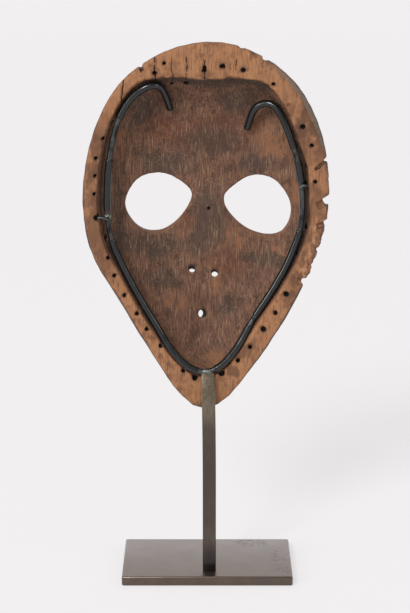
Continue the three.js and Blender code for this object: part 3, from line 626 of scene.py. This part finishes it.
def rough_skin(piece, height, width, seed):
    """Moves the points a little along their normals, so that the surface isn't perfect."""
    points = points_of(piece)
    move_points(piece, points + normals_of(piece) * (height * lumps(points, (width,) * 3, seed))[:, None])


SLEEVE_NODES = [
    "left_hook_sleeve", "left_side_sleeve", "left_arm_sleeve", "right_foot_sleeve", "right_arm_sleeve",
    "right_side_sleeve", "right_hook_sleeve",
]


class DANMASK_OT_rod(bpy.types.Operator):
    """Bends the cradle's rod and slips the soft sleeves over it"""

    bl_idname = "danmask.rod"
    bl_label = "Cradle rod and sleeves"

    def execute(self, context):
        look = context.scene.stand_look
        run = even_line(centreline("cradle_rod"), look.station / MM)
        rod = tube_along("cradle_rod_round", run, look.rod, look.sides)
        rounded(rod, look.rod_round)
        finish_piece(rod, drawn_steel(look), "dark_rod", "cradle_rod")
        rubber = soft_tubing(look)
        for order, node in enumerate(SLEEVE_NODES):
            corners = points_of(copy_of_node(node, "sleeve_guide"))
            bpy.data.objects.remove(bpy.data.objects["sleeve_guide"])
            nearest = [np.argmin(((run - p) ** 2).sum(axis=1)) for p in corners]
            first, last = min(nearest), max(nearest)
            sleeve = tube_along(node + "_tube", run[first:last + 1], look.sleeve, look.sides, closed=False)
            modify(sleeve, "SOLIDIFY", thickness=look.sleeve_wall, offset=-1)
            rough_skin(sleeve, 0.05, 5, 60 + order)
            rounded(sleeve, look.sleeve_round)
            finish_piece(sleeve, rubber, "black_sleeve", node)
        return {"FINISHED"}


# The beads of braze at each claw: how far up the rod, then half the width, depth and height, in millimetres
BRAZED_CLAWS = {
    "left_claw": [(0, (3.0, 2.6, 3.0))],
    "right_claw": [(0.9, (2.1, 2.1, 0.7)), (-0.9, (2.1, 2.1, 0.6))],
}
BRAZED_BAR = (4.6, 2.3, 2.1)


class DANMASK_OT_claws(bpy.types.Operator):
    """Finishes the two claws that lie over the rim, and the braze at every joint"""

    bl_idname = "danmask.claws"
    bl_label = "Claws and braze"

    def execute(self, context):
        look = context.scene.stand_look
        run = even_line(centreline("cradle_rod"), look.station / MM)
        steel = drawn_steel(look)
        braze = brazed_joint(look)
        for order, (node, beads) in enumerate(BRAZED_CLAWS.items()):
            claw = copy_of_node(node, node + "_peg")
            modify(claw, "SUBSURF", levels=2, render_levels=2)
            rough_skin(claw, 0.12, 1.6, 70 + order)
            choose(claw)
            bpy.ops.object.shade_smooth()
            finish_piece(claw, steel, "dark_rod", node)
            near = np.argmin(((run - points_of(claw).mean(axis=0)) ** 2).sum(axis=1))
            for step, (offset, half_sizes) in enumerate(beads):
                name = f"{node}_braze_{step + 1}"
                self.bead(name, run[near] + (0, 0, offset), half_sizes, 80 + 2 * order + step, braze)
        bar_top = points_of(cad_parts["upright_bar"])
        peak = bar_top[bar_top[:, 2] > bar_top[:, 2].max() - 1].mean(axis=0)
        on_rod = run[np.argmin(((run - peak) ** 2).sum(axis=1))]
        self.bead("bar_braze", on_rod, BRAZED_BAR, 90, braze)
        return {"FINISHED"}

    def bead(self, name, place, half_sizes, seed, material):
        """One lump of braze round the rod."""
        bpy.ops.object.select_all(action="DESELECT")
        bpy.ops.mesh.primitive_ico_sphere_add(subdivisions=4, radius=1, location=(0, 0, 0))
        lump = bpy.context.active_object
        lump.name = name
        points = points_of(lump) * MM
        move_points(lump, points * np.array(half_sizes) + place)
        rough_skin(lump, 0.3, 1.7, seed)
        choose(lump)
        bpy.ops.object.shade_smooth()
        finish_piece(lump, material, "dark_rod")


class DANMASK_OT_bar(bpy.types.Operator):
    """Finishes the flat bar that rises from the plate"""

    bl_idname = "danmask.bar"
    bl_label = "Upright bar"

    def execute(self, context):
        look = context.scene.stand_look
        bar = copy_of_node("upright_bar", "flat_bar")
        rounded(bar, look.bar_round, angle=30)
        finish_piece(bar, patinated_steel(look, "bar"), "patinated_steel", "upright_bar")
        return {"FINISHED"}


class DANMASK_OT_plate(bpy.types.Operator):
    """Makes the base plate"""

    bl_idname = "danmask.plate"
    bl_label = "Base plate"

    def execute(self, context):
        look = context.scene.stand_look
        low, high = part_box("base_plate")
        bpy.ops.object.select_all(action="DESELECT")
        bpy.ops.mesh.primitive_cube_add(size=1, location=(low + high) / 2, scale=high - low)
        plate = bpy.context.active_object
        plate.name = "cut_plate"
        bpy.ops.object.transform_apply(location=True, rotation=True, scale=True)
        self.select_upright_edges(plate)
        bpy.ops.mesh.bevel(offset=look.plate_corner, segments=4)
        bpy.ops.object.mode_set(mode="OBJECT")
        modify(plate, "BEVEL", width=look.plate_round, segments=3, limit_method="ANGLE",
               angle_limit=math.radians(60))
        choose(plate)
        bpy.ops.object.shade_smooth_by_angle(angle=math.radians(35))
        finish_piece(plate, patinated_steel(look, "plate"), "patinated_steel", "base_plate")
        return {"FINISHED"}

    def select_upright_edges(self, piece):
        """Selects the upright edges of a block in edit mode."""
        for edge in piece.data.edges:
            a, b = [piece.data.vertices[v].co for v in edge.vertices]
            edge.select = abs((a - b).normalized().z) > 0.9
        for face in piece.data.polygons:
            face.select = False
        for vertex in piece.data.vertices:
            vertex.select = False
        choose(piece)
        bpy.ops.object.mode_set(mode="EDIT")
        bpy.ops.mesh.select_mode(type="EDGE")


# Materials


def add_node(tree, kind, inputs=None, **settings):
    """Adds a node with its settings, and sets or links its inputs."""
    made = tree.nodes.new(kind)
    for name, value in settings.items():
        setattr(made, name, value)
    for socket, value in (inputs or {}).items():
        if isinstance(value, bpy.types.NodeSocket):
            tree.links.new(value, made.inputs[socket])
        else:
            made.inputs[socket].default_value = value
    return made


def new_material(name):
    """An empty material with its output and main shader joined."""
    material = bpy.data.materials.new(name)
    material.use_nodes = True
    tree = material.node_tree
    tree.nodes.clear()
    shader = add_node(tree, "ShaderNodeBsdfPrincipled")
    add_node(tree, "ShaderNodeOutputMaterial", {"Surface": shader.outputs[0]})
    return material, tree, shader


def grains(tree, width, seed, detail=4, rough=0.55, warp=0.0):
    """Soft grains of a real width in millimetres on each axis: about 0.3 in the dips, 0.7 on the crests."""
    place = add_node(tree, "ShaderNodeTexCoord").outputs["Object"]
    scaled = add_node(tree, "ShaderNodeMapping", {
        "Vector": place, "Scale": [1 / (w * MM) for w in width], "Location": (seed, seed * 0.7, seed * 1.3),
    })
    noise = add_node(tree, "ShaderNodeTexNoise", {
        "Vector": scaled.outputs[0], "Scale": 1.0, "Detail": detail, "Roughness": rough, "Distortion": warp,
    })
    return noise.outputs["Fac"]


def region(tree, centre, half_sizes):
    """1 at a place and 0 outside an ellipsoid round it, in millimetres."""
    place = add_node(tree, "ShaderNodeTexCoord").outputs["Object"]
    moved = add_node(tree, "ShaderNodeMapping", {
        "Vector": place, "Scale": [1 / (s * MM) for s in half_sizes],
        "Location": [-c / s for c, s in zip(centre, half_sizes)],
    })
    ball = add_node(tree, "ShaderNodeTexGradient", {"Vector": moved.outputs[0]}, gradient_type="SPHERICAL")
    return ball.outputs["Fac"]


def frayed(tree, name, pattern, amount):
    """A painted attribute whose edges are frayed by a pattern."""
    painted = add_node(tree, "ShaderNodeAttribute", attribute_name=name)
    fray = add_node(tree, "ShaderNodeMath", {0: pattern, 1: amount, 2: -amount / 2}, operation="MULTIPLY_ADD")
    both = add_node(tree, "ShaderNodeMath", {0: painted.outputs["Fac"], 1: fray.outputs[0]})
    return both.outputs[0]


def coat(tree, under, over, cover, *where):
    """Lays a colour over another. Each part of where is a pattern, and the values at which the coat starts
    and is full."""
    share = cover
    for pattern, start, full in where:
        shows = add_node(tree, "ShaderNodeMapRange", {
            "Value": pattern, "From Min": start, "From Max": full}, interpolation_type="SMOOTHSTEP")
        times = add_node(tree, "ShaderNodeMath", {0: shows.outputs["Result"], 1: share}, operation="MULTIPLY")
        share = times.outputs[0]
    mixed = add_node(tree, "ShaderNodeMix", {0: share, 6: under, 7: over}, data_type="RGBA")
    return mixed.outputs[2]


def follow(tree, pattern, in_dips, on_crests):
    """A value that follows a pattern of grains."""
    made = add_node(tree, "ShaderNodeMapRange", {
        "Value": pattern, "From Min": 0.3, "From Max": 0.7, "To Min": in_dips, "To Max": on_crests})
    return made.outputs["Result"]


def carved_hardwood(look):
    """African hardwood cut with the adze and gouge."""
    # Raw and fibrous on the rim, dark with smoke and handling in the hollow, stained and rubbed on the face
    material, tree, shader = new_material("carved_hardwood")
    width = look.fibre / MM
    fibre = grains(tree, (width, 2.5, 9), 1, detail=5, rough=0.65, warp=0.3)
    scratch = grains(tree, (0.6 * width, 2, 9), 11, detail=3, rough=0.6, warp=0.2)
    hatch = grains(tree, (1.2 * width, 2, 1.6 * width), 51, detail=3, rough=0.6)
    cloud = grains(tree, (17, 17, 24), 21, detail=3)
    patch = grains(tree, (6, 6, 9), 31)
    blotch = grains(tree, (2.6, 2.6, 4.2), 61, detail=5, rough=0.6)
    speck = grains(tree, (1.1, 1.1, 1.4), 41, detail=2)

    hollow = coat(tree, look.hollow_dark, look.hollow_mid, 1.0, (fibre, 0.3, 0.58))
    hollow = coat(tree, hollow, look.hollow_red, 0.62, (frayed(tree, "red", patch, 0.6), 0.15, 0.8))
    hollow = coat(tree, hollow, look.hollow_dark, 0.6, (patch, 0.5, 0.66), (cloud, 0.42, 0.6))
    hollow = coat(tree, hollow, look.hollow_grey, 0.62, (frayed(tree, "grey", patch, 0.7), 0.15, 0.75))
    hollow = coat(tree, hollow, look.hollow_dark, 0.5, (blotch, 0.5, 0.66))
    warm = frayed(tree, "warm", blotch, 1.6)
    hollow = coat(tree, hollow, look.hollow_warm, 0.6, (warm, 0.35, 1.0), (patch, 0.35, 0.6))
    hollow = coat(tree, hollow, look.hollow_light, 0.5, (scratch, 0.52, 0.64), (patch, 0.62, 0.42))
    hollow = coat(tree, hollow, look.hollow_light, 0.25, (hatch, 0.5, 0.66), (cloud, 0.4, 0.6))
    # The painted shadow of the right rod on the wall of the hollow
    painted_rod_shadow = frayed(tree, "painted_rod_shadow", blotch, 0.7)
    hollow = coat(tree, hollow, look.bore_shade, 0.6, (painted_rod_shadow, 0.3, 0.85))
    eye_edge = frayed(tree, "eye_edge", speck, 0.6)
    hollow = coat(tree, hollow, look.hollow_warm, 0.4, (eye_edge, 0.3, 0.9))
    dusty = frayed(tree, "dusty", blotch, 1.8)
    hollow = coat(tree, hollow, look.dust, 0.95, (dusty, 0.3, 0.6), (speck, 0.34, 0.54))

    raw = coat(tree, look.raw_dark, look.raw_mid, 1.0, (fibre, 0.3, 0.56))
    raw = coat(tree, raw, look.raw_light, 0.55, (scratch, 0.5, 0.7), (cloud, 0.35, 0.6))
    raw = coat(tree, raw, look.smudge, 0.75, (patch, 0.47, 0.63), (cloud, 0.4, 0.56))
    upper_right = region(tree, (72, -14, 318), (34, 40, 36))
    left = region(tree, (-78, -14, 262), (34, 40, 80))
    chin = region(tree, (0, -14, 98), (40, 40, 34))
    raw = coat(tree, raw, look.smudge, 0.85, (upper_right, 0, 0.5), (patch, 0.3, 0.58))
    raw = coat(tree, raw, look.smudge, 0.3, (chin, 0, 0.4))
    raw = coat(tree, raw, look.smudge, 0.6, (chin, 0, 0.5), (patch, 0.36, 0.58))
    lower_right = region(tree, (78, -14, 222), (36, 40, 62))
    raw = coat(tree, raw, look.smudge, 0.72, (left, 0, 0.5), (patch, 0.28, 0.55))
    raw = coat(tree, raw, look.smudge, 0.6, (lower_right, 0, 0.5), (patch, 0.3, 0.55))
    raw = coat(tree, raw, look.smudge, 0.45, (blotch, 0.52, 0.68))
    torn = frayed(tree, "torn", speck, 1.0)
    raw = coat(tree, raw, look.raw_light, 0.5, (torn, 0.4, 1), (blotch, 0.5, 0.38))
    raw = coat(tree, raw, look.smudge, 0.8, (torn, 0.5, 1), (blotch, 0.54, 0.64))
    raw = coat(tree, raw, look.smudge, 0.5, (frayed(tree, "halo", speck, 0.5), 0.2, 0.8))

    colour = coat(tree, hollow, raw, 1.0, (frayed(tree, "raw", patch, 0.5), 0.4, 0.62))
    worn = frayed(tree, "worn", speck, 1.2)
    colour = coat(tree, colour, look.worn_edge, 0.95, (worn, 0.25, 0.75), (hatch, 0.34, 0.5))
    edge_line = frayed(tree, "edge_line", patch, 1.7)
    colour = coat(tree, colour, look.edge_line, 0.85, (edge_line, 0.4, 0.8))

    face = coat(tree, look.face_dark, look.face_worn, 1.0, (cloud, 0.35, 0.7))
    face = coat(tree, face, look.face_dark, 0.4, (fibre, 0.35, 0.65))
    polished = add_node(tree, "ShaderNodeAttribute", attribute_name="polished").outputs["Fac"]
    colour = coat(tree, colour, face, 1.0, (polished, 0.35, 0.65))
    # Painted shade in the bores, the cracks and the grooves of the notches
    bored = add_node(tree, "ShaderNodeAttribute", attribute_name="bored").outputs["Fac"]
    colour = coat(tree, colour, look.bore_shade, 1.0, (bored, 0.1, 0.8))
    tree.links.new(colour, shader.inputs["Base Color"])

    dull = follow(tree, cloud, 0.7, 0.82)
    shine = add_node(tree, "ShaderNodeMath", {0: polished, 1: -0.38, 2: dull}, operation="MULTIPLY_ADD")
    tree.links.new(shine.outputs[0], shader.inputs["Roughness"])
    shader.inputs["IOR"].default_value = 1.5
    shader.inputs["Specular IOR Level"].default_value = 0.35
    grain = add_node(tree, "ShaderNodeBump", {"Height": fibre, "Distance": 0.4 * MM, "Strength": 0.75})
    cuts = add_node(tree, "ShaderNodeBump", {
        "Height": scratch, "Distance": 0.25 * MM, "Strength": 0.6, "Normal": grain.outputs["Normal"]})
    tree.links.new(cuts.outputs["Normal"], shader.inputs["Normal"])
    return material


def patinated_steel(look, part):
    """Mild steel with a brown wax patina."""
    # Satin and a little cloudy: it mirrors the pale room softly and shows fine rubbed streaks
    material, tree, shader = new_material("patinated_steel_" + part)
    cloud = grains(tree, (16, 16, 16), 3)
    fine = grains(tree, (0.7, 0.7, 9) if part == "bar" else (6, 0.5, 0.5), 7, detail=3)
    colour = coat(tree, look.steel, look.steel_dark, 0.5, (cloud, 0.35, 0.65))
    colour = coat(tree, colour, look.steel_rub_and_sheen, 0.35, (fine, 0.55, 0.75))
    if part == "bar":
        # The bend, which leans towards the light, gets a painted sheen, and the middle below it painted shade
        bend = region(tree, (0, -20, 141), (20, 26, 34))
        colour = coat(tree, colour, look.steel_rub_and_sheen, 0.85, (bend, 0, 0.5))
        middle = region(tree, (0, -22, 72), (30, 30, 58))
        colour = coat(tree, colour, look.steel_dark, 0.6, (middle, 0.1, 0.6))
        colour = coat(tree, colour, look.steel_dark, 0.5, (fine, 0.45, 0.6))
        foot = region(tree, (1.4, -22, 7), (14, 14, 30))
        colour = coat(tree, colour, look.steel_foot, 0.95, (foot, 0, 0.75))
    else:
        # The top is painted paler than the sides, as a painted reflection of the pale room
        top = region(tree, (0, 0, 9), (400, 400, 4))
        colour = coat(tree, colour, look.plate_top_reflection, 0.8, (top, 0.36, 0.44))
        scuff = grains(tree, (2.4, 1, 2), 17)
        back_edge = region(tree, (31, 25, 7), (17, 10, 5))
        colour = coat(tree, colour, look.steel_dark, 0.9, (back_edge, 0.1, 0.5), (scuff, 0.45, 0.58))
        right_end = region(tree, (53, -4, 7), (13, 40, 5))
        colour = coat(tree, colour, look.steel_dark, 0.7, (right_end, 0.1, 0.5), (scuff, 0.54, 0.62))
    tree.links.new(colour, shader.inputs["Base Color"])
    shader.inputs["Metallic"].default_value = 1.0
    tree.links.new(follow(tree, cloud, 0.3, 0.42), shader.inputs["Roughness"])
    # The wax over the patina mirrors more where the plate is seen at a slant
    shader.inputs["Coat Weight"].default_value = 0.8
    shader.inputs["Coat Roughness"].default_value = 0.22
    streaks = add_node(tree, "ShaderNodeBump", {"Height": fine, "Distance": 0.03 * MM, "Strength": 0.5})
    tree.links.new(streaks.outputs["Normal"], shader.inputs["Normal"])
    return material


def drawn_steel(look):
    """Drawn round steel rod with heat scale."""
    # Dark grey, with a soft shine along its length and blotches of scale
    material, tree, shader = new_material("drawn_steel_rod")
    scale = grains(tree, (4, 4, 7), 2, detail=5)
    fine = grains(tree, (0.6, 0.6, 2.5), 9, detail=3)
    colour = coat(tree, look.rod_grey, look.rod_dark, 1.0, (scale, 0.4, 0.65))
    tree.links.new(colour, shader.inputs["Base Color"])
    shader.inputs["Metallic"].default_value = 1.0
    tree.links.new(follow(tree, fine, 0.32, 0.5), shader.inputs["Roughness"])
    skin = add_node(tree, "ShaderNodeBump", {"Height": fine, "Distance": 0.05 * MM, "Strength": 0.5})
    tree.links.new(skin.outputs["Normal"], shader.inputs["Normal"])
    return material


def brazed_joint(look):
    """Silver braze, lumpy and dulled."""
    # Paler and greener than the rod, with pits
    material, tree, shader = new_material("brazed_joint")
    pits = grains(tree, (0.9, 0.9, 0.9), 4)
    tree.links.new(coat(tree, look.rod_dark, look.braze, 1.0, (pits, 0.3, 0.52)), shader.inputs["Base Color"])
    shader.inputs["Metallic"].default_value = 1.0
    tree.links.new(follow(tree, pits, 0.55, 0.35), shader.inputs["Roughness"])
    skin = add_node(tree, "ShaderNodeBump", {"Height": pits, "Distance": 0.25 * MM, "Strength": 0.7})
    tree.links.new(skin.outputs["Normal"], shader.inputs["Normal"])
    return material


def soft_tubing(look):
    """Black PVC tubing, moulded smooth."""
    # Near black with a clear highlight along it, and a few dull scuffs
    material, tree, shader = new_material("black_pvc_tubing")
    scuff = grains(tree, (3, 3, 5), 6, detail=5)
    colour = coat(tree, look.rubber, look.rubber_dull, 0.5, (scuff, 0.5, 0.8))
    tree.links.new(colour, shader.inputs["Base Color"])
    shader.inputs["IOR"].default_value = 1.53
    tree.links.new(follow(tree, scuff, 0.16, 0.28), shader.inputs["Roughness"])
    skin = add_node(tree, "ShaderNodeBump", {"Height": scuff, "Distance": 0.12 * MM, "Strength": 0.4})
    tree.links.new(skin.outputs["Normal"], shader.inputs["Normal"])
    return material


def pale_backdrop(look):
    """Painted board, matt and evenly lit."""
    material, _, shader = new_material("pale_backdrop")
    shader.inputs["Base Color"].default_value = look.board
    shader.inputs["Roughness"].default_value = 1.0
    shader.inputs["Specular IOR Level"].default_value = 0.0
    shader.inputs["Emission Color"].default_value = look.floor
    shader.inputs["Emission Strength"].default_value = look.floor_glow
    return material


# The stage, in metres


SHEET_SIZE = 14
WALL_AWAY = 4.6
WALL_MIDDLE = 3
KEY_STANDS = (-1.2, -2, 2.2)
KEY_SHINES = (0.5, 1.0, -0.85)
BOXES_AIM = (0, 0, 0.25)
# Each soft box: its name, place, width and share of the power
SOFT_BOXES = (
    ("left_box", (-1.5, -1.0, 0.72), 0.6, 1.0),
    ("right_box", (1.5, -1.0, 0.85), 0.5, 0.45),
)


class DANMASK_OT_stage(bpy.types.Operator):
    """Sets up the pale floor, the soft light and the camera"""

    bl_idname = "danmask.stage"
    bl_label = "Stage"

    def execute(self, context):
        look = context.scene.stage_look
        board = pale_backdrop(look)
        # The wall stands beyond the picture, where the plate and the rod mirror it
        wall = ("pale_wall", (0, WALL_AWAY, WALL_MIDDLE), math.pi / 2)
        for name, place, turn in (("pale_floor", (0, 0, 0), 0), wall):
            bpy.ops.object.select_all(action="DESELECT")
            bpy.ops.mesh.primitive_plane_add(size=SHEET_SIZE, location=place, rotation=(turn, 0, 0))
            sheet = context.active_object
            sheet.name = name
            sheet.data.materials.append(board)
        self.light()
        self.camera()
        return {"FINISHED"}

    def light(self):
        scene = bpy.context.scene
        look = scene.stage_look
        room = bpy.data.worlds.new("room")
        scene.world = room
        room.use_nodes = True
        sky = room.node_tree.nodes["Background"]
        sky.inputs["Color"].default_value = look.room
        scene.view_settings.view_transform = "Standard"
        bpy.ops.object.light_add(type="SUN", location=KEY_STANDS)
        key = bpy.context.active_object
        key.name = "key_light"
        key.data.energy = look.key_power
        key.data.angle = look.key_softness
        key.rotation_euler = Vector(KEY_SHINES).to_track_quat("-Z", "Y").to_euler()
        # Two soft boxes give the thin highlights along the sleeves
        for name, place, width, share in SOFT_BOXES:
            towards = Vector(BOXES_AIM) - Vector(place)
            turn = towards.to_track_quat("-Z", "Y").to_euler()
            bpy.ops.object.light_add(type="AREA", location=place, rotation=turn)
            box = bpy.context.active_object
            box.name = name
            box.data.size = width
            box.data.energy = look.box_power * share
            box.visible_camera = False

    def camera(self):
        look = bpy.context.scene.stage_look
        bpy.ops.object.camera_add(
            location=look.stand_off, rotation=(math.pi / 2 - look.tilt, 0, 0)
        )
        camera = bpy.context.active_object
        camera.name = "camera"
        camera.data.lens = look.lens
        camera.data.sensor_width = 36
        camera.data.clip_start = 0.05
        camera.data.clip_end = 50
        bpy.context.scene.camera = camera


class DANMASK_PT_panel(bpy.types.Panel):
    """Lists the pieces of the mask and its stand"""

    bl_label = "Mask"
    bl_idname = "DANMASK_PT_panel"
    bl_space_type = "VIEW_3D"
    bl_region_type = "UI"
    bl_category = "Mask"

    def draw(self, context):
        for step in STEPS:
            self.layout.operator(step.bl_idname)
        for group in (context.scene.mask_look, context.scene.stand_look, context.scene.stage_look):
            for name in group.bl_rna.properties.keys():
                if name not in ("rna_type", "name"):
                    self.layout.prop(group, name)


STEPS = (
    DANMASK_OT_mask, DANMASK_OT_rod, DANMASK_OT_claws, DANMASK_OT_bar, DANMASK_OT_plate, DANMASK_OT_stage,
)
CLASSES = (MaskLook, StandLook, StageLook, *STEPS, DANMASK_PT_panel)


def register():
    for entry in CLASSES:
        bpy.utils.register_class(entry)
    bpy.types.Scene.mask_look = PointerProperty(type=MaskLook)
    bpy.types.Scene.stand_look = PointerProperty(type=StandLook)
    bpy.types.Scene.stage_look = PointerProperty(type=StageLook)


def unregister():
    del bpy.types.Scene.mask_look, bpy.types.Scene.stand_look, bpy.types.Scene.stage_look
    for entry in reversed(CLASSES):
        bpy.utils.unregister_class(entry)


def main():
    register()
    bpy.ops.danmask.mask()
    bpy.ops.danmask.rod()
    bpy.ops.danmask.claws()
    bpy.ops.danmask.bar()
    bpy.ops.danmask.plate()
    bpy.ops.danmask.stage()


if __name__ == "__main__":
    main()
